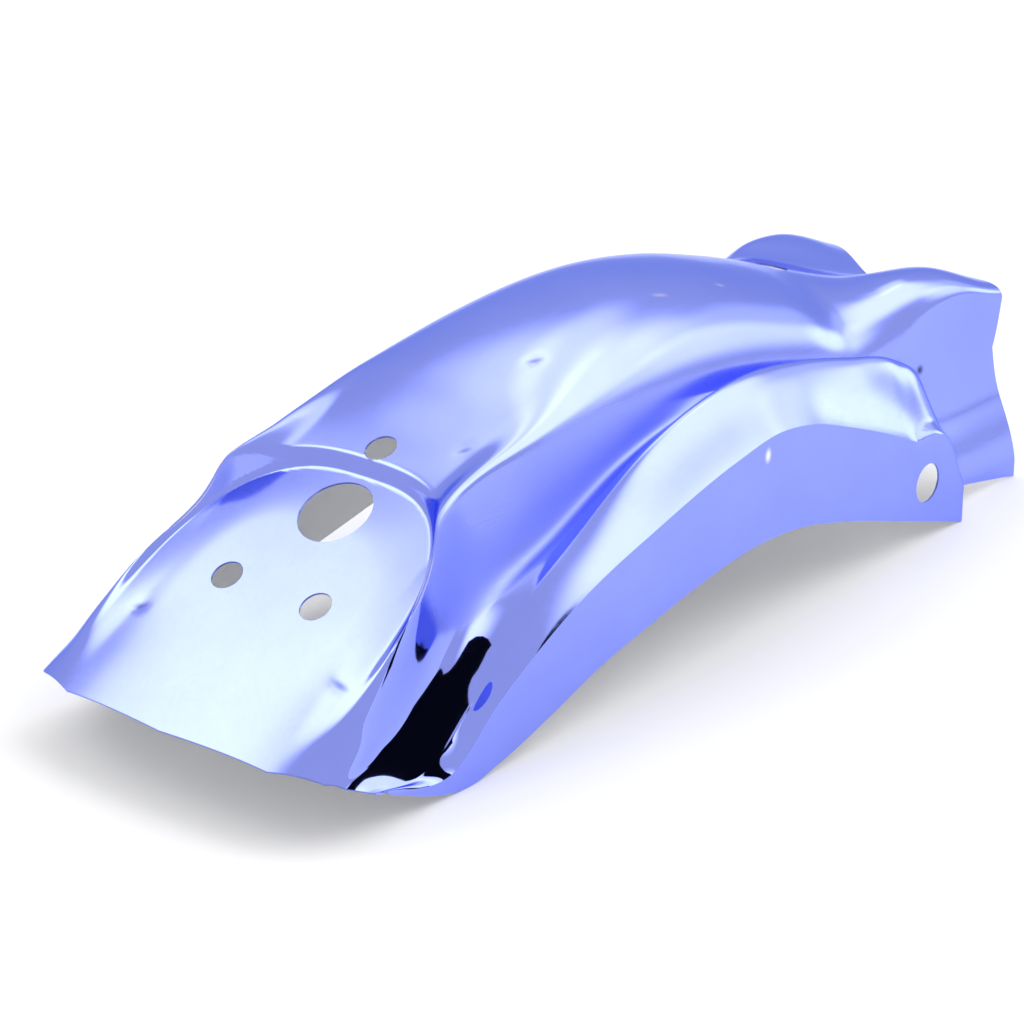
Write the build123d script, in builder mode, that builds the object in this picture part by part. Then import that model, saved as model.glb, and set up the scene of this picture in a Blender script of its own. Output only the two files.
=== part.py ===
import math
import os

from build123d import *

# Rear fender pressed from one steel sheet, in millimetres.
# X runs forward along the bike, Y to its left, Z up. It stands on its lower corners.

SHEET = 1.0
HALF_WIDTH = 92.0
FOOT_HALF_WIDTH = 79.0
TAIL_X = -228.0
FRONT_X = 297.0
JOGGLE = (241.0, 252.0)

# Side-view heights of the pressed lines, as (x, z) stations from tail to front.
RIDGE = ((-228, 32), (-192, 53.5), (-160, 73.5), (-135, 91), (-118, 102), (-87, 116), (-41, 139), (20, 155),
         (64, 158), (110, 152.5), (150, 142), (195, 127.5), (246, 110), (297, 93))
BROW = ((150, 128.5), (195, 114), (227, 115), (248, 117.5), (271, 115.5), (317, 99))
SHOULDER = ((-216, 29), (-192, 44), (-157, 74), (-125, 101), (-96, 112), (-60, 118), (-20, 120), (20, 118),
            (64, 112), (110, 104), (150, 96), (200, 85), (226, 88), (246, 98), (271, 102), (319, 92))
VALLEY = ((-207, 25), (-157, 33), (-130, 46), (-100, 60), (-50, 77.5), (0, 98), (60, 109), (110, 106),
          (150, 98), (200, 82), (226, 73), (247, 70), (308, 68))
BEAD = ((-196, 20), (-163, 15), (-127, 29.5), (-88, 59), (-45, 79.5), (10, 105), (55, 116), (85, 118),
        (124, 113), (165, 103.5), (204, 91.5), (222, 79.5), (236, 57.5), (247, 45), (310, 43))
CREASE = ((-187, 16), (-150, 10), (-118, 32), (-64, 60), (-9, 77), (50, 91), (81, 95), (109, 91),
          (138, 81), (190, 59), (232, 36), (247, 14), (311, 9))
SKIRT_EDGE = ((-178, 12), (-165, 6.5), (-152, 2.2), (-138, 0), (-118, 3.5), (-84, 13), (-50, 24), (-14, 32),
              (22, 39), (68, 44), (99, 42), (141, 32), (185, 18), (241, 0))
FLANGE_EDGE = ((241, 14), (311, 0))

# Plan-view half widths of the same lines, as (x, y) stations.
SHOULDER_Y = ((-216, 83), (-192, 81), (-157, 73.5), (-130, 65), (-96, 57.5), (-41, 60), (200, 60), (319, 61))
VALLEY_Y = ((-207, 88), (-157, 79.5), (-130, 74), (-100, 68.5), (-50, 66), (60, 64.5), (200, 65), (247, 63.5),
            (308, 63.5))
BEAD_Y = ((-196, 91), (-160, 88), (-130, 83.5), (-95, 78), (-55, 74), (0, 72), (100, 71), (200, 72),
          (222, 74), (247, 68), (310, 68))

# How far each line runs ahead of the ridge at the hem, at the top of the tail panel and at the front edge.
HEM_LEAD = (0, 3, 12, 21, 32, 41, 50)
BROW_LEAD = (0, -7, -24, -20, -12, -6, 0)
FRONT_LEAD = (0, 20, 22, 11, 13, 14, 14)
PANEL_TOP_X = -99.0
HEM_DEPTH = 40.0

# How far the sheet keeps its direction as it leaves each line and as it arrives at the next, as shares.
LEAVE = (0.36, 0.36, 0.36, 0.36, 0.15, 0.36)
ARRIVE = (0.36, 0.36, 0.22, 0.36, 0.36, 0.36)

# Flat tail panel: a point on its centre line, its fall to the rear, its outline and the wall round it.
PANEL_X = -118.5
PANEL_Z = 95.1
PANEL_FALL = math.radians(30)
PANEL_HALF_WIDTH = 71.0
PANEL_TOP = 22.0
PANEL_SQUARE = -60.0
PANEL_WALL = 7.0

# Flat pad round the side bolt hole.
PAD_X = 208.0
PAD_Z = 31.0
PAD_RADIUS = 24.0
PAD_EDGE = 8.0
PAD_HOLE = 20.0

# Holes in the panel and the crown, by diameter and distance up the panel slope.
LAMP_HOLE = 35.0
SCREW_HOLE = 15.0
SCREW_UP = -47.0
SCREW_SIDE = 26.0
CROWN_SCREW_UP = 36.0
CROWN_HOLE = 22.0
CROWN_HOLE_X = 195.0
CROWN_HOLE_FALL = 18.0

# Where the sheet spreads into the tail, where the crown splits into two brows and where the front folds flat.
TAIL_SPREAD = (-150.0, -60.0)
BROW_SPLIT = (150.0, 195.0)
FRONT_FOLD = (195.0, 262.0)

# Where the zones along the ridge start, the steps in each, and the strips between one line and the next.
ZONE_X = (TAIL_X, -160, -112, -84, -60, 190, JOGGLE[0], JOGGLE[1])
ZONE_STEPS = (3, 4, 8, 2, 8, 8, 1, 2)
STRIPS = (4, 4, 3, 3, 3, 1)


def ramp(x, start, end):
    t = min(max((x - start) / (end - start), 0), 1)
    return t * t * (3 - 2 * t)


def along(stations, x):
    """Height or width of a pressed line at x, eased from station to station."""
    def chord(k):
        (xa, va), (xb, vb) = stations[k], stations[k + 1]
        return (vb - va) / (xb - xa)

    def slope(k):
        if k == 0:
            return chord(0)
        if k == len(stations) - 1:
            return chord(k - 1)
        before = stations[k][0] - stations[k - 1][0]
        after = stations[k + 1][0] - stations[k][0]
        mean = (chord(k - 1) * after + chord(k) * before) / (before + after)
        most = min(abs(chord(k - 1)), abs(chord(k)))
        if chord(k - 1) * chord(k) > 0:
            most *= 3
        return max(-most, min(most, mean))

    i = 0
    while i < len(stations) - 2 and x > stations[i + 1][0]:
        i += 1
    (xa, va), (xb, vb) = stations[i], stations[i + 1]
    if x < xa:
        return va + slope(i) * (x - xa)
    if x > xb:
        return vb + slope(i + 1) * (x - xb)
    t = (x - xa) / (xb - xa)
    ease = slope(i) * t * (1 - t) ** 2 - slope(i + 1) * t * t * (1 - t)
    return va * (1 + 2 * t) * (1 - t) ** 2 + vb * t * t * (3 - 2 * t) + (xb - xa) * ease


def line_point(k, x):
    """Point at x on pressed line k, counted from the ridge down to the skirt edge."""
    joggle = ramp(x, *JOGGLE)
    wide = HALF_WIDTH + (FOOT_HALF_WIDTH - HALF_WIDTH) * joggle
    shoulder = Vector(x, along(SHOULDER_Y, x), along(SHOULDER, x))
    if k == 0:
        return Vector(x, 0, along(RIDGE, x))
    if k == 1:
        arch = shoulder.Z + (along(RIDGE, x) - shoulder.Z) * math.sqrt(0.5)
        front = ramp(x, *BROW_SPLIT)
        return Vector(x, shoulder.Y * math.sqrt(0.5), arch * (1 - front) + along(BROW, x) * front)
    if k == 2:
        return shoulder
    if k == 3:
        return Vector(x, along(VALLEY_Y, x), along(VALLEY, x))
    if k == 4:
        return Vector(x, along(BEAD_Y, x), along(BEAD, x))
    if k == 5:
        return Vector(x, wide, along(CREASE, x))
    return Vector(x, wide, along(SKIRT_EDGE, x) * (1 - joggle) + along(FLANGE_EDGE, x) * joggle)


def line_heading(k, x, hem):
    """Direction in which the sheet crosses pressed line k at x, going down and out."""
    front = ramp(x, *FRONT_FOLD)
    tail = 1 - ramp(x, *TAIL_SPREAD)
    drop = (along(SHOULDER, x) - along(RIDGE, x)) / along(SHOULDER_Y, x)
    headings = (
        (1, 0),
        (1, drop * (1 - front)),
        (0.14 + 0.86 * hem, -1 + 0.5 * hem),
        (1, (-1.8 + 0.7 * hem) * tail - 9 * front),
        (1 - 0.56 * hem, -1.3 * tail - 3 * front),
        (0.1 + 0.7 * (1 - front) * (1 - hem), -1),
        (0, -1),
    )
    return Vector(0, *headings[k]).normalized()


def pressed(p):
    """The sheet point p after the tail panel and the bolt pads are pressed flat."""
    slope = Vector(math.cos(PANEL_FALL), 0, math.sin(PANEL_FALL))
    lift = Vector(-slope.Z, 0, slope.X)
    from_panel = p - Vector(PANEL_X, 0, PANEL_Z)
    tall = PANEL_TOP - PANEL_SQUARE
    up = max(from_panel.dot(slope) - PANEL_SQUARE, 0) / tall
    side = abs(p.Y) / PANEL_HALF_WIDTH
    steepness = math.hypot(3 * side ** 2 / PANEL_HALF_WIDTH, 2 * up / tall) + 1e-6
    outside = (side ** 3 + up ** 2 - 1) / steepness
    high = from_panel.dot(lift)
    if high > -3 and p.X < 0:
        depth = max((high + math.sqrt(high * high + 2)) / 2 - 0.15, 0)
        p = p - lift * (depth * (1 - ramp(outside, -0.5, PANEL_WALL)))
    if p.Y > FOOT_HALF_WIDTH - 20 and p.X < JOGGLE[0]:
        away = math.hypot(p.X - PAD_X, p.Z - PAD_Z)
        flat = 1 - ramp(away, PAD_RADIUS, PAD_RADIUS + PAD_EDGE)
        p = p + Vector(0, (HALF_WIDTH - p.Y) * flat, 0)
    return p


def half_section(x):
    """Points across the left half of the sheet, from the ridge at x to the skirt edge."""
    tail = 1 - ramp(x, TAIL_X, PANEL_TOP_X)
    top = ramp(x, TAIL_X, PANEL_TOP_X) * (1 - ramp(x, PANEL_TOP_X, 20))
    front = ramp(x, JOGGLE[1], FRONT_X)
    hem = 1 - ramp(x, TAIL_X, TAIL_X + HEM_DEPTH)
    leads = zip(HEM_LEAD, BROW_LEAD, FRONT_LEAD)
    places = [x + rear * tail + brow * top + end * front for rear, brow, end in leads]
    points = [line_point(0, x)]
    for k, strips in enumerate(STRIPS):
        xa, xd = places[k], places[k + 1]
        a = line_point(k, xa)
        d = line_point(k + 1, xd)
        chord = (d - a).length
        lead = 0.36 * (xd - xa)
        run_a = line_point(k, xa + 0.5) - line_point(k, xa - 0.5)
        run_d = line_point(k + 1, xd + 0.5) - line_point(k + 1, xd - 0.5)
        b = a + line_heading(k, xa, hem) * (chord * LEAVE[k]) + run_a * lead
        c = d - line_heading(k + 1, xd, hem) * (chord * ARRIVE[k]) - run_d * lead
        for i in range(1, strips + 1):
            t = i / strips
            u = 1 - t
            points.append(a * u ** 3 + b * (3 * t * u * u) + c * (3 * t * t * u) + d * t ** 3)
    return [pressed(p) for p in points]


def section(x):
    """Points across the whole sheet, from the right skirt edge over the ridge to the left one."""
    left = half_section(x)
    return [Vector(p.X, -p.Y, p.Z) for p in left[:0:-1]] + left


def inner_section(x):
    """The same points on the inner face of the sheet."""
    outer = section(x)
    # The sheet folds at the joggle, so only what lies behind counts there.
    ahead = outer if x == JOGGLE[0] else section(x + 0.25)
    behind = section(x - 0.25)
    last = len(outer) - 1
    inner = []
    for j, p in enumerate(outer):
        # The flat skirts set the direction at their creases too.
        before = j if j == last - 1 else max(j - 1, 0)
        after = j if j == 1 else min(j + 1, last)
        across = outer[after] - outer[before]
        inner.append(p - (ahead[j] - behind[j]).cross(across).normalized() * SHEET)
    return inner


def rails(rows):
    """Lines from the hem to the front edge through the same point of every section, folded at the joggle."""
    fold = stations.index(JOGGLE[0])

    def smooth(points, places):
        spread = [(x - places[0]) / (places[-1] - places[0]) for x in places]
        return Edge.make_spline(list(points), parameters=spread)

    lines = []
    for line in zip(*rows):
        rear = smooth(line[:fold + 1], stations[:fold + 1])
        front = smooth(line[fold + 1:], stations[fold + 1:])
        lines.append((rear, Edge.make_line(line[fold], line[fold + 1]), front))
    return lines


def strips(lines):
    """The sheet's faces between neighbouring rails."""
    return Shell.make_loft([Wire(line) for line in lines], ruled=True).faces()


def skirt(edge, crease):
    """Flat skirt between its edge and its crease, and the joggled flange ahead of it."""
    ends = [Edge.make_line(edge[0] @ t, crease[0] @ t) for t in (0, 1)]
    flat = Face(Wire([edge[0], ends[0], crease[0], ends[1]]))
    return [flat] + strips([edge[1:], crease[1:]])


stations = []
for start, end, steps in zip(ZONE_X, ZONE_X[1:] + (FRONT_X,), ZONE_STEPS):
    stations += [start + (end - start) * i / steps for i in range(steps)]
stations.append(FRONT_X)

outer_rows = [section(x) for x in stations]
inner_rows = [inner_section(x) for x in stations]
outer_rails = rails(outer_rows)
inner_rails = rails(inner_rows)

# Both faces of the sheet, then the cut edges that join them: skirts, hem and front.
faces = []
for lines in (outer_rails, inner_rails):
    faces += strips(lines[1:-1])
    faces += skirt(lines[0], lines[1])
    faces += skirt(lines[-1], lines[-2])
for end in (0, -1):
    faces += strips([outer_rails[end], inner_rails[end]])
    cut = [Wire.make_polygon(rows[end], close=False) for rows in (outer_rows, inner_rows)]
    faces += Shell.make_loft(cut, ruled=True).faces()

panel = Plane(
    origin=(PANEL_X, 0, PANEL_Z),
    x_dir=(math.cos(PANEL_FALL), 0, math.sin(PANEL_FALL)),
    z_dir=(-math.sin(PANEL_FALL), 0, math.cos(PANEL_FALL)),
)

with BuildPart() as fender:
    add(Solid(Shell(faces)))
    # Lamp hole, its two screw holes and the screw hole in the crown above it.
    with BuildSketch(panel):
        Circle(LAMP_HOLE / 2)
        with Locations((SCREW_UP, SCREW_SIDE), (SCREW_UP, -SCREW_SIDE), (CROWN_SCREW_UP, 0)):
            Circle(SCREW_HOLE / 2)
    extrude(amount=12, both=True, mode=Mode.SUBTRACT)
    # Bolt hole in the crown near the front.
    with BuildSketch(Plane(
        origin=(CROWN_HOLE_X, 0, along(RIDGE, CROWN_HOLE_X)),
        z_dir=(math.sin(math.radians(CROWN_HOLE_FALL)), 0, math.cos(math.radians(CROWN_HOLE_FALL))),
    )):
        Circle(CROWN_HOLE / 2)
    extrude(amount=12, both=True, mode=Mode.SUBTRACT)
    # Bolt holes in the side pads.
    with BuildSketch(Plane.XZ):
        with Locations((PAD_X, PAD_Z)):
            Circle(PAD_HOLE / 2)
    extrude(amount=HALF_WIDTH + 10, both=True, mode=Mode.SUBTRACT)

# The part's origin lies under the middle of its length, at the height of the lowest corners.
extent = fender.part.bounding_box()
shell = fender.part.moved(Location((-extent.center().X, 0, -extent.min.Z)))

os.makedirs("parts", exist_ok=True)
shell.label = "fender_shell"
export_step(shell, "parts/fender_shell.step")
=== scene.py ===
import math

import bpy
import numpy as np
from mathutils import Matrix, Vector


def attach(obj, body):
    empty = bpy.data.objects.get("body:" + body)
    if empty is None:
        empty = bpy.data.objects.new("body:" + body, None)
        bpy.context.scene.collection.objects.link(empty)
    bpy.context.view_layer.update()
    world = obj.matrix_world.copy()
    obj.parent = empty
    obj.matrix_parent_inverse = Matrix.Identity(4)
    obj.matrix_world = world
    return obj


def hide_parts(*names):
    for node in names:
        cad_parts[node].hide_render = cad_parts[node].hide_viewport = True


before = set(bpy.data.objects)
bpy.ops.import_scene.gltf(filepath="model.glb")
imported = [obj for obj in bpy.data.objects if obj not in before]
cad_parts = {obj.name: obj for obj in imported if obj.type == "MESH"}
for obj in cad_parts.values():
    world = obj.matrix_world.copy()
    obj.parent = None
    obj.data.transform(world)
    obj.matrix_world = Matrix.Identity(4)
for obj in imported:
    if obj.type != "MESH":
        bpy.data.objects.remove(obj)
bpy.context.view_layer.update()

# The sheet follows the same pressed lines as the solid, in millimetres.
# It is moved to the part's origin at the end.
PER_METRE = 1000
SHEET = 1.0
HALF_WIDTH = 92.0
FOOT_HALF_WIDTH = 79.0
TAIL_X = -228.0
FRONT_X = 297.0
JOGGLE = (241.0, 252.0)

# Side-view heights of the pressed lines, as (x, z) stations from tail to front.
RIDGE = ((-228, 32), (-192, 53.5), (-160, 73.5), (-135, 91), (-118, 102), (-87, 116), (-41, 139), (20, 155),
         (64, 158), (110, 152.5), (150, 142), (195, 127.5), (246, 110), (297, 93))
BROW = ((150, 128.5), (195, 114), (227, 115), (248, 117.5), (271, 115.5), (317, 99))
SHOULDER = ((-216, 29), (-192, 44), (-157, 74), (-125, 101), (-96, 112), (-60, 118), (-20, 120), (20, 118),
            (64, 112), (110, 104), (150, 96), (200, 85), (226, 88), (246, 98), (271, 102), (319, 92))
VALLEY = ((-207, 25), (-157, 33), (-130, 46), (-100, 60), (-50, 77.5), (0, 98), (60, 109), (110, 106),
          (150, 98), (200, 82), (226, 73), (247, 70), (308, 68))
BEAD = ((-196, 20), (-163, 15), (-127, 29.5), (-88, 59), (-45, 79.5), (10, 105), (55, 116), (85, 118),
        (124, 113), (165, 103.5), (204, 91.5), (222, 79.5), (236, 57.5), (247, 45), (310, 43))
CREASE = ((-187, 16), (-150, 10), (-118, 32), (-64, 60), (-9, 77), (50, 91), (81, 95), (109, 91),
          (138, 81), (190, 59), (232, 36), (247, 14), (311, 9))
SKIRT_EDGE = ((-178, 12), (-165, 6.5), (-152, 2.2), (-138, 0), (-118, 3.5), (-84, 13), (-50, 24), (-14, 32),
              (22, 39), (68, 44), (99, 42), (141, 32), (185, 18), (241, 0))
FLANGE_EDGE = ((241, 14), (311, 0))

# Plan-view half widths of the same lines, as (x, y) stations.
SHOULDER_Y = ((-216, 83), (-192, 81), (-157, 73.5), (-130, 65), (-96, 57.5), (-41, 60), (200, 60), (319, 61))
VALLEY_Y = ((-207, 88), (-157, 79.5), (-130, 74), (-100, 68.5), (-50, 66), (60, 64.5), (200, 65), (247, 63.5),
            (308, 63.5))
BEAD_Y = ((-196, 91), (-160, 88), (-130, 83.5), (-95, 78), (-55, 74), (0, 72), (100, 71), (200, 72),
          (222, 74), (247, 68), (310, 68))

# How far each line runs ahead of the ridge at the hem, at the top of the tail panel and at the front edge.
HEM_LEAD = (0, 3, 12, 21, 32, 41, 50)
BROW_LEAD = (0, -7, -24, -20, -12, -6, 0)
FRONT_LEAD = (0, 20, 22, 11, 13, 14, 14)
PANEL_TOP_X = -99.0
BROW_LEAD_END = 20.0
HEM_DEPTH = 40.0

# How far the sheet keeps its heading as it leaves one line and arrives at the next, as shares of the chord.
LEAVE = (0.36, 0.36, 0.36, 0.36, 0.15, 0.36)
ARRIVE = (0.36, 0.36, 0.22, 0.36, 0.36, 0.36)
LEAD_SHARE = 0.36

# The skirt is straight from crease to edge, and so is the groove beside the tail panel, which ends along x.
GROOVE = 3
GROOVE_END = (-95.0, -65.0)
SKIRT = 5

# Where the wall spreads towards the tail, the brow parts from the crown and the front ears fold, along x.
TAIL_SPREAD = (-150.0, -60.0)
BROW_SPLIT = (150.0, 195.0)
FRONT_FOLD = (195.0, 262.0)

# How far out and how steeply down the sheet crosses its lines, and how that changes at the hem and the front.
ARCH = math.sqrt(0.5)
SHOULDER_OUT = 0.14
SHOULDER_HEM_LIFT = 0.5
VALLEY_FALL = -1.8
VALLEY_HEM_LIFT = 0.7
VALLEY_FRONT_FALL = -9
BEAD_HEM_TUCK = 0.56
BEAD_FALL = -1.3
BEAD_FRONT_FALL = -3
CREASE_OUT = 0.1
CREASE_FLARE = 0.7

# Tail panel, pressed flat with rounded edges and a faint pillow.
PANEL_X = -118.5
PANEL_Z = 95.1
PANEL_FALL = math.radians(30)
PANEL_HALF_WIDTH = 71.0
PANEL_TOP = 22.0
PANEL_SQUARE = -60.0
PANEL_WALL = (-0.5, 7.0)
PANEL_ROUND = 2.0
PANEL_EASE = 0.15
PANEL_BELOW = -3.0
PANEL_PILLOW = 1.6
PILLOW_REACH = 40.0

# Bolt pads and holes.
PAD_X = 208.0
PAD_Z = 31.0
PAD_RADIUS = 24.0
PAD_EDGE = 6.0
PAD_BAND_Y = 59.0
PAD_HOLE = 20.0
LAMP_HOLE = 35.0
SCREW_HOLE = 15.0
SCREW_UP = -47.0
SCREW_SIDE = 26.0
CROWN_SCREW_UP = 36.0
CROWN_HOLE = 22.0
CROWN_HOLE_X = 195.0
CROWN_HOLE_FALL = math.radians(18)
HOLE_SIDES = 72
CUTTER_DEPTH = 0.03
SHARP_ANGLE = math.radians(35)

# Studio: floor size in metres and even light all round.
# Soft lights are given as (direction, full within, none beyond, strength), with angles in degrees.
FLOOR_SIZE = 12
EVEN_LIGHT = 0.81
SOFT_LIGHTS = (
    ((-0.18, 0.62, 0.77), 1, 18, 2.05),
    ((0.29, 0.42, 0.86), 1, 20, 1.05),
    ((0.49, 0.11, 0.87), 1, 20, 1.3),
    ((0.53, -0.42, 0.74), 14, 29, 1.75),
    ((0.83, -0.48, 0.29), 1, 15, 1.35),
    ((0.96, -0.26, 0.05), 5, 12, 2.15),
    ((0.92, -0.21, 0.34), 5, 14, 0.51),
)

# Black flag of the studio: an upright board through a point on the floor plan, running along a direction.
# Its outline is given as (distance along, height), all in millimetres.
FLAG_POINT = (-10.0, -208.5)
FLAG_ALONG = (0.719, 0.695)
FLAG_OUTLINE = ((-6, 5), (24, 5), (19, 30), (14, 56), (8, 66), (2, 76), (-8, 90), (-12, 104), (-15, 128),
                (-17, 190), (-30, 222), (-50, 234), (-70, 228), (-84, 206), (-72, 176), (-65, 152),
                (-55, 128), (-45, 112), (-40, 98), (-38, 84), (-37, 68), (-34, 56), (-29, 48), (-22, 38),
                (-10, 24))

# Small dents, as (centre, half sizes, turn about z in degrees, depth), in millimetres.
DENTS = (
    ((-19.1, -29.2, 143.4), (8.0, 4.5, 8.0), -27, 0.5),
    ((-182.5, 56.3, 56.6), (7.0, 4.5, 8.0), -73, 0.5),
    ((-184.0, -62.4, 55.4), (9.0, 4.5, 8.0), 78, 0.5),
    ((-76.3, -37.5, 120.1), (7.0, 4.5, 8.0), -40, 0.4),
)

# Small marks painted into the colour, as (centre, half sizes, turn about z in degrees, colour), in
# millimetres:
# painted shade at the pinch at the end of the bead, painted shade in the dents, a painted highlight on the
# skirt and two faint lighter patches on the crown.
PAINTED_LIGHT_AND_MARKS = (
    ((241.1, -63.1, 74.0), (4.5, 6.0, 3.6), 0, (0.06, 0.065, 0.16, 1)),
    ((-19.1, -29.2, 143.4), (6.0, 2.4, 4.0), -27, (0.13, 0.15, 0.42, 1)),
    ((-182.5, 56.3, 56.6), (5.0, 2.4, 4.0), -73, (0.13, 0.15, 0.42, 1)),
    ((-184.0, -62.4, 55.4), (8.0, 2.4, 4.0), 78, (0.10, 0.12, 0.35, 1)),
    ((-76.3, -37.5, 120.1), (4.5, 2.2, 4.0), -40, (0.15, 0.18, 0.55, 1)),
    ((72.0, -92.0, 86.5), (3.2, 4.0, 5.0), 0, (0.95, 0.97, 1.0, 1)),
    ((68.3, -31.1, 151.3), (7.0, 2.0, 4.0), -15, (0.50, 0.56, 1.0, 1)),
    ((113.7, -31.7, 144.6), (5.0, 1.8, 4.0), -15, (0.48, 0.54, 1.0, 1)),
)

# The wall below the shoulder is rubbed duller.
# Given are its band of half widths and its reach along x, in millimetres.
DULL_FROM_Y = (57.0, 61.0)
DULL_TO_Y = (67.0, 72.0)
DULL_FROM_X = (-150.0, -125.0)
DULL_TO_X = (185.0, 205.0)
DULLER = 0.30

# The groove beside the tail panel keeps its bright polish.
# Given are the half width where that starts and where it ends along x, in millimetres.
BRIGHT_FROM_Y = (66.0, 70.0)
BRIGHT_TO_X = (-95.0, -78.0)
BRIGHTER = 0.75

# Camera at the photograph's angle, in metres and millimetres of lens.
AZIMUTH = math.radians(-50)
ELEVATION = math.radians(22.5)
DISTANCE = 1.518
TARGET_Z = 0.0571
LENS = 116.0
SENSOR = 36

# Rows along the ridge, as (start, row spacing), and columns between one pressed line and the next.
ROWS = ((TAIL_X, 2.5), (-150.0, 1.7), (-75.0, 3.0), (190.0, 1.5), (JOGGLE[0], 1.1), (JOGGLE[1], 3.0))
COLUMNS = (22, 18, 14, 14, 22, 8)


def ramp(x, start, end):
    """None up to start and one from end on, with a smooth change between."""
    t = np.clip((x - start) / (end - start), 0, 1)
    return t * t * (3 - 2 * t)


def along(stations, x):
    """Height or width of a pressed line at each x, eased from station to station."""
    at, value = np.array(stations, float).T
    step = np.diff(at)
    chord = np.diff(value) / step
    mean = (chord[:-1] * step[1:] + chord[1:] * step[:-1]) / (step[:-1] + step[1:])
    most = np.minimum(abs(chord[:-1]), abs(chord[1:])) * np.where(chord[:-1] * chord[1:] > 0, 3, 1)
    slope = np.concatenate([chord[:1], np.clip(mean, -most, most), chord[-1:]])
    i = np.clip(np.searchsorted(at, x) - 1, 0, len(step) - 1)
    t = np.clip((x - at[i]) / step[i], 0, 1)
    ease = slope[i] * t * (1 - t) ** 2 - slope[i + 1] * t * t * (1 - t)
    inside = value[i] * (1 + 2 * t) * (1 - t) ** 2 + value[i + 1] * t * t * (3 - 2 * t) + step[i] * ease
    before = slope[0] * np.minimum(x - at[0], 0)
    after = slope[-1] * np.maximum(x - at[-1], 0)
    return inside + before + after


def points(x, y, z):
    """Points with the given coordinates, where y may be one number for all."""
    return np.stack([x, y + 0 * x, z], -1)


def line_point(k, x):
    """Points at each x on pressed line k, counted from the ridge down to the skirt edge."""
    joggle = ramp(x, *JOGGLE)
    wide = HALF_WIDTH + (FOOT_HALF_WIDTH - HALF_WIDTH) * joggle
    shoulder_y = along(SHOULDER_Y, x)
    shoulder_z = along(SHOULDER, x)
    if k == 0:
        return points(x, 0, along(RIDGE, x))
    if k == 1:
        arch = shoulder_z + (along(RIDGE, x) - shoulder_z) * ARCH
        front = ramp(x, *BROW_SPLIT)
        return points(x, shoulder_y * ARCH, arch * (1 - front) + along(BROW, x) * front)
    if k == 2:
        return points(x, shoulder_y, shoulder_z)
    if k == 3:
        return points(x, along(VALLEY_Y, x), along(VALLEY, x))
    if k == 4:
        return points(x, along(BEAD_Y, x), along(BEAD, x))
    if k == 5:
        return points(x, wide, along(CREASE, x))
    return points(x, wide, along(SKIRT_EDGE, x) * (1 - joggle) + along(FLANGE_EDGE, x) * joggle)


def line_heading(k, x, hem):
    """Direction in which the sheet crosses pressed line k at each x, going down and out."""
    front = ramp(x, *FRONT_FOLD)
    tail = 1 - ramp(x, *TAIL_SPREAD)
    drop = (along(SHOULDER, x) - along(RIDGE, x)) / along(SHOULDER_Y, x)
    headings = (
        (1, 0),
        (1, drop * (1 - front)),
        (SHOULDER_OUT + (1 - SHOULDER_OUT) * hem, -1 + SHOULDER_HEM_LIFT * hem),
        (1, (VALLEY_FALL + VALLEY_HEM_LIFT * hem) * tail + VALLEY_FRONT_FALL * front),
        (1 - BEAD_HEM_TUCK * hem, BEAD_FALL * tail + BEAD_FRONT_FALL * front),
        (CREASE_OUT + CREASE_FLARE * (1 - front) * (1 - hem), -1),
        (0, -1),
    )
    out, down = headings[k]
    heading = points(0 * x, out, down + 0 * x)
    return heading / np.linalg.norm(heading, axis=-1, keepdims=True)


def pressed(p):
    """The sheet points after the tail panel and the bolt pads are pressed flat.

    The panel's outline is where side cubed and up squared add to one, and outside is the distance from it.
    """
    slope = np.array([math.cos(PANEL_FALL), 0, math.sin(PANEL_FALL)])
    lift = np.array([-math.sin(PANEL_FALL), 0, math.cos(PANEL_FALL)])
    from_panel = p - np.array([PANEL_X, 0, PANEL_Z])
    tall = PANEL_TOP - PANEL_SQUARE
    up = np.maximum(from_panel @ slope - PANEL_SQUARE, 0) / tall
    side = abs(p[..., 1]) / PANEL_HALF_WIDTH
    steepness = np.hypot(3 * side ** 2 / PANEL_HALF_WIDTH, 2 * up / tall) + 1e-6
    outside = (side ** 3 + up ** 2 - 1) / steepness
    high = from_panel @ lift + PANEL_PILLOW * np.clip(outside / PILLOW_REACH + 1, 0, 1) ** 2
    depth = np.maximum((high + np.sqrt(high * high + PANEL_ROUND)) / 2 - PANEL_EASE, 0)
    at_tail = (high > PANEL_BELOW) & (p[..., 0] < 0)
    depth = np.where(at_tail, depth * (1 - ramp(outside, *PANEL_WALL)), 0)
    p = p - lift * depth[..., None]
    away = np.hypot(p[..., 0] - PAD_X, p[..., 2] - PAD_Z)
    flat = 1 - ramp(away, PAD_RADIUS, PAD_RADIUS + PAD_EDGE)
    flat = np.where((p[..., 1] > PAD_BAND_Y) & (p[..., 0] < JOGGLE[0]), flat, 0)
    p[..., 1] += (HALF_WIDTH - p[..., 1]) * flat
    return p


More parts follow.
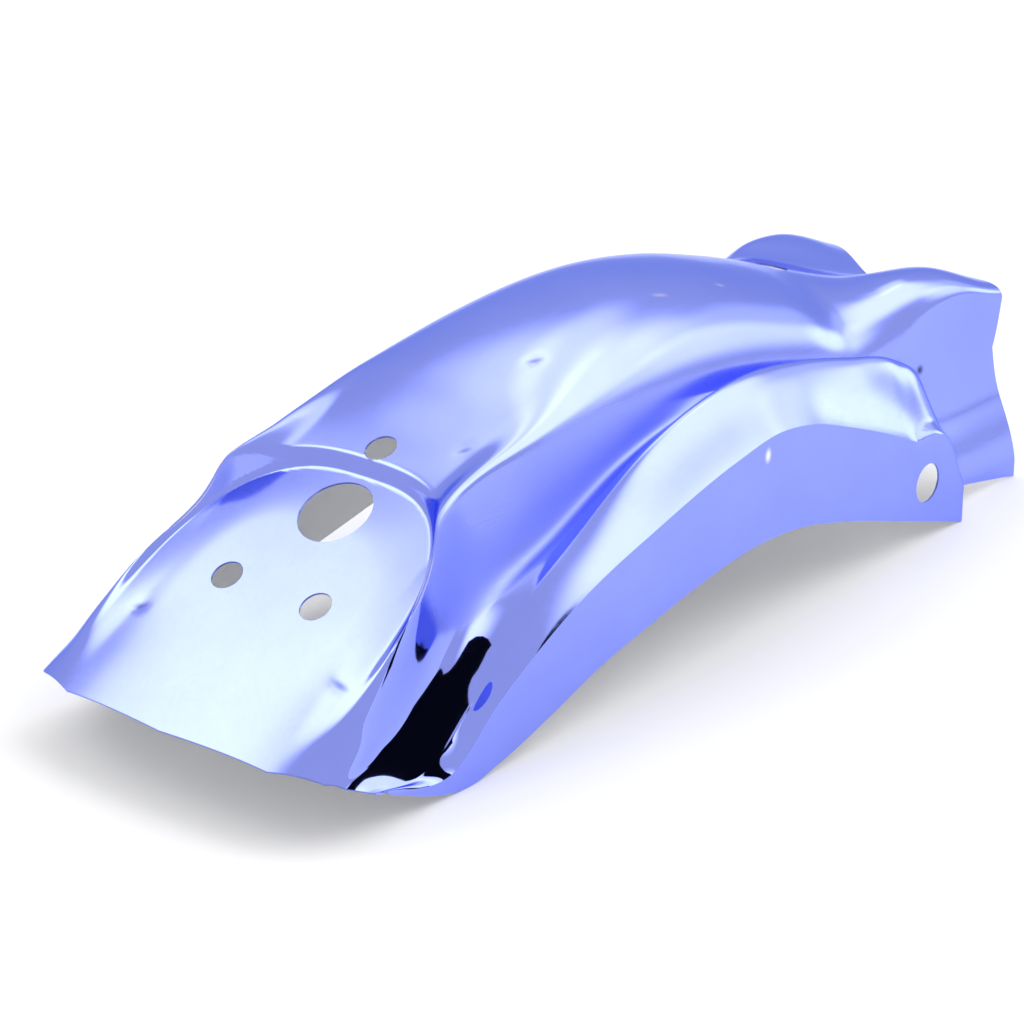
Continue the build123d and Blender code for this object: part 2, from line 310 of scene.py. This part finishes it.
def sheet(x):
    """Grid over the whole sheet: a row for each x, from the right skirt edge over the ridge to the left."""
    tail = 1 - ramp(x, TAIL_X, PANEL_TOP_X)
    top = ramp(x, TAIL_X, PANEL_TOP_X) * (1 - ramp(x, PANEL_TOP_X, BROW_LEAD_END))
    front = ramp(x, JOGGLE[1], FRONT_X)
    hem = 1 - ramp(x, TAIL_X, TAIL_X + HEM_DEPTH)
    leads = zip(HEM_LEAD, BROW_LEAD, FRONT_LEAD)
    places = [x + rear * tail + brow * top + end * front for rear, brow, end in leads]
    columns = [line_point(0, x)]
    for k, count in enumerate(COLUMNS):
        xa, xd = places[k], places[k + 1]
        a = line_point(k, xa)
        d = line_point(k + 1, xd)
        chord = np.linalg.norm(d - a, axis=-1, keepdims=True)
        lead = LEAD_SHARE * (xd - xa)[:, None]
        run_a = line_point(k, xa + 0.5) - line_point(k, xa - 0.5)
        run_d = line_point(k + 1, xd + 0.5) - line_point(k + 1, xd - 0.5)
        b = a + line_heading(k, xa, hem) * chord * LEAVE[k] + run_a * lead
        c = d - line_heading(k + 1, xd, hem) * chord * ARRIVE[k] - run_d * lead
        if k in (GROOVE, SKIRT):
            straight = 1.0 if k == SKIRT else (1 - ramp(xa, *GROOVE_END))[:, None]
            b += (a + (d - a) / 3 - b) * straight
            c += (d - (d - a) / 3 - c) * straight
        for i in range(1, count + 1):
            t = i / count
            u = 1 - t
            columns.append(a * u ** 3 + b * (3 * t * u * u) + c * (3 * t * t * u) + d * t ** 3)
    left = pressed(np.stack(columns, 1))
    right = left[:, :0:-1] * np.array([1, -1, 1])
    return np.concatenate([right, left], 1)


def row_places():
    """Where the rows of the mesh lie along the ridge."""
    rows = []
    for (start, step), end in zip(ROWS, [row[0] for row in ROWS[1:]] + [FRONT_X]):
        count = math.ceil((end - start) / step)
        rows += [start + (end - start) * i / count for i in range(count)]
    return np.array(rows + [FRONT_X])


def normals(grid):
    """Outward direction at each point of the grid."""
    across = np.gradient(grid, axis=1)
    ahead = np.gradient(grid, axis=0)
    n = np.cross(ahead, across)
    return n / np.linalg.norm(n, axis=-1, keepdims=True)


def dented(grid):
    """The grid with small dents pressed into it."""
    depth = np.zeros(grid.shape[:2])
    for centre, sizes, turn, deep in DENTS:
        cosine = math.cos(math.radians(turn))
        sine = math.sin(math.radians(turn))
        x, y, z = np.moveaxis(grid - np.array(centre), -1, 0)
        local = np.stack([x * cosine + y * sine, y * cosine - x * sine, z], -1) / np.array(sizes)
        depth += deep * (1 - ramp(np.linalg.norm(local, axis=-1), 0, 1))
    return grid - normals(grid) * depth[..., None]


def build_shell():
    """Closed sheet of both faces and the cut edges round them, in metres at the part's origin."""
    outer = dented(sheet(row_places()))
    inner = outer - normals(outer) * SHEET
    middle = (outer[..., 0].min() + outer[..., 0].max()) / 2
    place = np.array([middle, 0, outer[..., 2].min()])
    rows, cols = outer.shape[:2]
    ids = np.arange(rows * cols).reshape(rows, cols)
    quads = np.stack([ids[:-1, :-1], ids[1:, :-1], ids[1:, 1:], ids[:-1, 1:]], -1).reshape(-1, 4)
    inside = quads[:, ::-1] + rows * cols
    rim = np.concatenate([ids[0, :-1], ids[:-1, -1], ids[-1, :0:-1], ids[:0:-1, 0]])
    after = np.roll(rim, -1)
    edge = np.stack([rim, after, after + rows * cols, rim + rows * cols], -1)
    mesh = bpy.data.meshes.new("fender")
    corners = (np.concatenate([outer.reshape(-1, 3), inner.reshape(-1, 3)]) - place) / PER_METRE
    mesh.from_pydata(corners.tolist(), [], np.concatenate([quads, inside, edge]).tolist())
    mesh.polygons.foreach_set("material_index", [0] * len(quads) + [1] * len(inside) + [0] * len(edge))
    mesh.validate()
    mesh.materials.append(chrome_material(place))
    mesh.materials.append(inside_material())
    piece = bpy.data.objects.new("fender", mesh)
    bpy.context.scene.collection.objects.link(piece)
    return piece, place


def drill(piece, place, centre, axis, diameter):
    """Round hole through the sheet."""
    radius = diameter / 2 / PER_METRE
    bpy.ops.mesh.primitive_cylinder_add(vertices=HOLE_SIDES, radius=radius, depth=CUTTER_DEPTH)
    cutter = bpy.context.object
    turn = Vector((0, 0, 1)).rotation_difference(Vector(axis)).to_matrix().to_4x4()
    cutter.matrix_world = Matrix.Translation((np.array(centre) - place) / PER_METRE) @ turn
    cut = piece.modifiers.new("hole", "BOOLEAN")
    cut.object = cutter
    cut.operation = "DIFFERENCE"
    cut.solver = "EXACT"
    bpy.context.view_layer.update()
    view = bpy.context.evaluated_depsgraph_get()
    mesh = bpy.data.meshes.new_from_object(piece.evaluated_get(view))
    piece.modifiers.clear()
    piece.data = mesh
    bpy.data.objects.remove(cutter)


def on_panel(up, side):
    """Point of the tail panel, from the middle of the lamp hole."""
    return (PANEL_X + up * math.cos(PANEL_FALL), side, PANEL_Z + up * math.sin(PANEL_FALL))


def add_node(tree, kind, **values):
    """Shader node with the named inputs set, or linked where the value is a socket.

    An underscore stands for a space in an input's name.
    """
    node = tree.nodes.new(kind)
    for name, value in values.items():
        socket = node.inputs[name.replace("_", " ")]
        if isinstance(value, bpy.types.NodeSocket):
            tree.links.new(value, socket)
        else:
            socket.default_value = value
    return node


def closeness(tree, where, centre, sizes, turn):
    """One at the middle of an ellipsoid, fading to none at its edge."""
    turned = (0, 0, math.radians(turn))
    local = add_node(tree, "ShaderNodeMapping", Vector=where, Location=centre, Rotation=turned, Scale=sizes)
    local.vector_type = "TEXTURE"
    length = add_node(tree, "ShaderNodeVectorMath", Vector=local.outputs["Vector"])
    length.operation = "LENGTH"
    fall = add_node(tree, "ShaderNodeMapRange", Value=length.outputs["Value"], To_Min=1.0, To_Max=0.0)
    fall.interpolation_type = "SMOOTHSTEP"
    return fall.outputs["Result"]


def combine(tree, kind, a, b):
    """Result of a sum, a product or the like of two values or sockets."""
    node = tree.nodes.new("ShaderNodeMath")
    node.operation = kind
    for socket, value in zip(node.inputs, (a, b)):
        if isinstance(value, bpy.types.NodeSocket):
            tree.links.new(value, socket)
        else:
            socket.default_value = value
    return node.outputs["Value"]


def fade(tree, value, start, end):
    """None before start and one past end, both in millimetres and in either order, changing smoothly."""
    low = min(start, end) / PER_METRE
    high = max(start, end) / PER_METRE
    rising = float(start < end)
    limits = {"From_Min": low, "From_Max": high, "To_Min": 1 - rising, "To_Max": rising}
    node = add_node(tree, "ShaderNodeMapRange", Value=value, **limits)
    node.interpolation_type = "SMOOTHSTEP"
    return node.outputs["Result"]


def grained_material(name, scale, detail, dark, pale, roughness):
    """Dull material whose colour varies finely between two shades."""
    material = bpy.data.materials.new(name)
    material.use_nodes = True
    tree = material.node_tree
    shader = tree.nodes["Principled BSDF"]
    where = tree.nodes.new("ShaderNodeTexCoord").outputs["Object"]
    grain = add_node(tree, "ShaderNodeTexNoise", Vector=where, Scale=scale, Detail=detail)
    tint = tree.nodes.new("ShaderNodeValToRGB")
    tint.color_ramp.elements[0].color = dark
    tint.color_ramp.elements[1].color = pale
    tree.links.new(grain.outputs["Fac"], tint.inputs["Fac"])
    tree.links.new(tint.outputs["Color"], shader.inputs["Base Color"])
    shader.inputs["Roughness"].default_value = roughness
    return material


def chrome_material(place):
    """Plate with a cloudy polish, fine rub marks, the shallow waves of pressed sheet, and small marks of
    painted shade, a painted highlight and lighter colour.
    """
    material = bpy.data.materials.new("chrome_plate")
    material.use_nodes = True
    tree = material.node_tree
    shader = tree.nodes["Principled BSDF"]
    where = tree.nodes.new("ShaderNodeTexCoord").outputs["Object"]
    clouds = add_node(tree, "ShaderNodeTexNoise", Vector=where, Scale=22.0, Detail=4.0, Roughness=0.55)
    tint = tree.nodes.new("ShaderNodeValToRGB")
    tint.color_ramp.elements[0].position = 0.3
    tint.color_ramp.elements[0].color = (0.29, 0.345, 0.96, 1)
    tint.color_ramp.elements[1].position = 0.7
    tint.color_ramp.elements[1].color = (0.31, 0.37, 1.0, 1)
    tree.links.new(clouds.outputs["Fac"], tint.inputs["Fac"])
    colour = tint.outputs["Color"]
    # Mixed into the colour: painted shade at the bead's end and in the dents, a painted highlight on the
    # skirt, and two lighter patches on the crown.
    for centre, sizes, turn, shade in PAINTED_LIGHT_AND_MARKS:
        middle = (np.array(centre) - place) / PER_METRE
        near = closeness(tree, where, middle, np.array(sizes) / PER_METRE, turn)
        mark_and_painted_light = add_node(tree, "ShaderNodeMixRGB", Fac=near, Color1=colour, Color2=shade)
        colour = mark_and_painted_light.outputs["Color"]
    tree.links.new(colour, shader.inputs["Base Color"])
    rubs = add_node(tree, "ShaderNodeMapping", Vector=where, Scale=(60.0, 700.0, 700.0))
    streaks = add_node(tree, "ShaderNodeTexNoise", Vector=rubs.outputs["Vector"], Scale=1.0, Detail=3.0)
    limits = {"From_Min": 0.35, "From_Max": 0.75, "To_Min": 0.13, "To_Max": 0.18}
    polish = add_node(tree, "ShaderNodeMapRange", Value=streaks.outputs["Fac"], **limits)
    parts = add_node(tree, "ShaderNodeSeparateXYZ", Vector=where)
    wide = combine(tree, "ABSOLUTE", parts.outputs["Y"], 0.0)
    rubbed = combine(tree, "MULTIPLY", fade(tree, wide, *DULL_FROM_Y), fade(tree, wide, *DULL_TO_Y[::-1]))
    from_tail = fade(tree, parts.outputs["X"], *(np.array(DULL_FROM_X) - place[0]))
    to_front = fade(tree, parts.outputs["X"], *(np.array(DULL_TO_X[::-1]) - place[0]))
    rubbed = combine(tree, "MULTIPLY", rubbed, combine(tree, "MULTIPLY", from_tail, to_front))
    rough = combine(tree, "ADD", polish.outputs["Result"], combine(tree, "MULTIPLY", rubbed, DULLER))
    beside_tail = fade(tree, parts.outputs["X"], *(np.array(BRIGHT_TO_X[::-1]) - place[0]))
    bright = combine(tree, "MULTIPLY", fade(tree, wide, *BRIGHT_FROM_Y), beside_tail)
    kept = combine(tree, "SUBTRACT", 1.0, combine(tree, "MULTIPLY", bright, BRIGHTER))
    tree.links.new(combine(tree, "MULTIPLY", rough, kept), shader.inputs["Roughness"])
    waves = add_node(tree, "ShaderNodeTexNoise", Vector=where, Scale=14.0, Detail=2.0, Roughness=0.4)
    wavy = add_node(tree, "ShaderNodeBump", Height=waves.outputs["Fac"], Strength=0.05, Distance=0.002)
    tree.links.new(wavy.outputs["Normal"], shader.inputs["Normal"])
    shader.inputs["Metallic"].default_value = 1.0
    shader.inputs["Specular Tint"].default_value = (0.50, 0.58, 1.0, 1)
    return material


def inside_material():
    """Dull pale coat on the side that faces the wheel."""
    return grained_material("inside_coat", 30.0, 4.0, (0.90, 0.91, 0.94, 1), (0.95, 0.955, 0.97, 1), 0.6)


def floor_material():
    """Pale paper."""
    return grained_material("floor_paper", 6.0, 3.0, (0.93, 0.93, 0.94, 1), (0.96, 0.96, 0.97, 1), 0.9)


def flag_material():
    """Black felt without a sheen."""
    felt = grained_material("flag_felt", 200.0, 2.0, (0.002, 0.002, 0.003, 1), (0.006, 0.006, 0.008, 1), 1.0)
    felt.node_tree.nodes["Principled BSDF"].inputs["Specular IOR Level"].default_value = 0.0
    return felt


def soft_patch(tree, direction, towards, near, far):
    """One where the view is within near degrees of a direction, fading to none at far degrees."""
    facing = tree.nodes.new("ShaderNodeVectorMath")
    facing.operation = "DOT_PRODUCT"
    tree.links.new(direction, facing.inputs[0])
    facing.inputs[1].default_value = Vector(towards).normalized()
    limits = {"From_Min": math.cos(math.radians(far)), "From_Max": math.cos(math.radians(near))}
    patch = add_node(tree, "ShaderNodeMapRange", Value=facing.outputs["Value"], **limits)
    patch.interpolation_type = "SMOOTHSTEP"
    return patch.outputs["Result"]


# The fender.
fender, place = build_shell()
panel_lift = (-math.sin(PANEL_FALL), 0, math.cos(PANEL_FALL))
crown_lift = (math.sin(CROWN_HOLE_FALL), 0, math.cos(CROWN_HOLE_FALL))
crown_z = float(along(RIDGE, np.array([CROWN_HOLE_X]))[0])
drill(fender, place, on_panel(0, 0), panel_lift, LAMP_HOLE)
drill(fender, place, on_panel(SCREW_UP, SCREW_SIDE), panel_lift, SCREW_HOLE)
drill(fender, place, on_panel(SCREW_UP, -SCREW_SIDE), panel_lift, SCREW_HOLE)
drill(fender, place, on_panel(CROWN_SCREW_UP, 0), panel_lift, SCREW_HOLE)
drill(fender, place, (CROWN_HOLE_X, 0, crown_z), crown_lift, CROWN_HOLE)
for side in (-1, 1):
    drill(fender, place, (PAD_X, side * HALF_WIDTH, PAD_Z), (0, 1, 0), PAD_HOLE)
fender.data.name = "fender"
fender.data.shade_smooth()
fender.data.set_sharp_from_angle(angle=SHARP_ANGLE)
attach(fender, "root")
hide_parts("fender_shell")

# Floor.
bpy.ops.mesh.primitive_plane_add(size=FLOOR_SIZE)
floor = bpy.context.object
floor.name = "floor"
floor.data.materials.append(floor_material())

# Black flag beside the tail, seen only in the groove's reflection.
point = np.array(FLAG_POINT)
along_flag = np.array(FLAG_ALONG)
corners = [(*(point + along_flag * at), z) for at, z in FLAG_OUTLINE]
flag_mesh = bpy.data.meshes.new("flag")
flag_mesh.from_pydata(((np.array(corners) - place) / PER_METRE).tolist(), [], [list(range(len(corners)))])
flag = bpy.data.objects.new("flag", flag_mesh)
bpy.context.scene.collection.objects.link(flag)
flag.visible_camera = False
flag.visible_diffuse = False
flag.visible_shadow = False
flag.data.materials.append(flag_material())

# World: even light all round with soft lights in it.
world = bpy.data.worlds.new("studio")
bpy.context.scene.world = world
world.use_nodes = True
tree = world.node_tree
direction = tree.nodes.new("ShaderNodeTexCoord").outputs["Generated"]
level = EVEN_LIGHT
for towards, near, far, strength in SOFT_LIGHTS:
    light = combine(tree, "MULTIPLY", soft_patch(tree, direction, towards, near, far), strength)
    level = combine(tree, "ADD", level, light)
background = tree.nodes["Background"]
tree.links.new(level, background.inputs["Strength"])
background.inputs["Color"].default_value = (1, 1, 1, 1)

# Camera.
target = Vector((-place[0] / PER_METRE, 0, TARGET_Z))
camera_data = bpy.data.cameras.new("camera")
camera_data.sensor_width = SENSOR
camera_data.lens = LENS
camera = bpy.data.objects.new("camera", camera_data)
bpy.context.scene.collection.objects.link(camera)
level_back = Vector((math.sin(AZIMUTH), -math.cos(AZIMUTH), 0))
back = level_back * math.cos(ELEVATION) + Vector((0, 0, math.sin(ELEVATION)))
right = Vector((math.cos(AZIMUTH), math.sin(AZIMUTH), 0))
view = Matrix((right, back.cross(right), back)).transposed().to_4x4()
view.translation = target + back * DISTANCE
camera.matrix_world = view
bpy.context.scene.camera = camera
bpy.context.scene.view_settings.view_transform = "Standard"
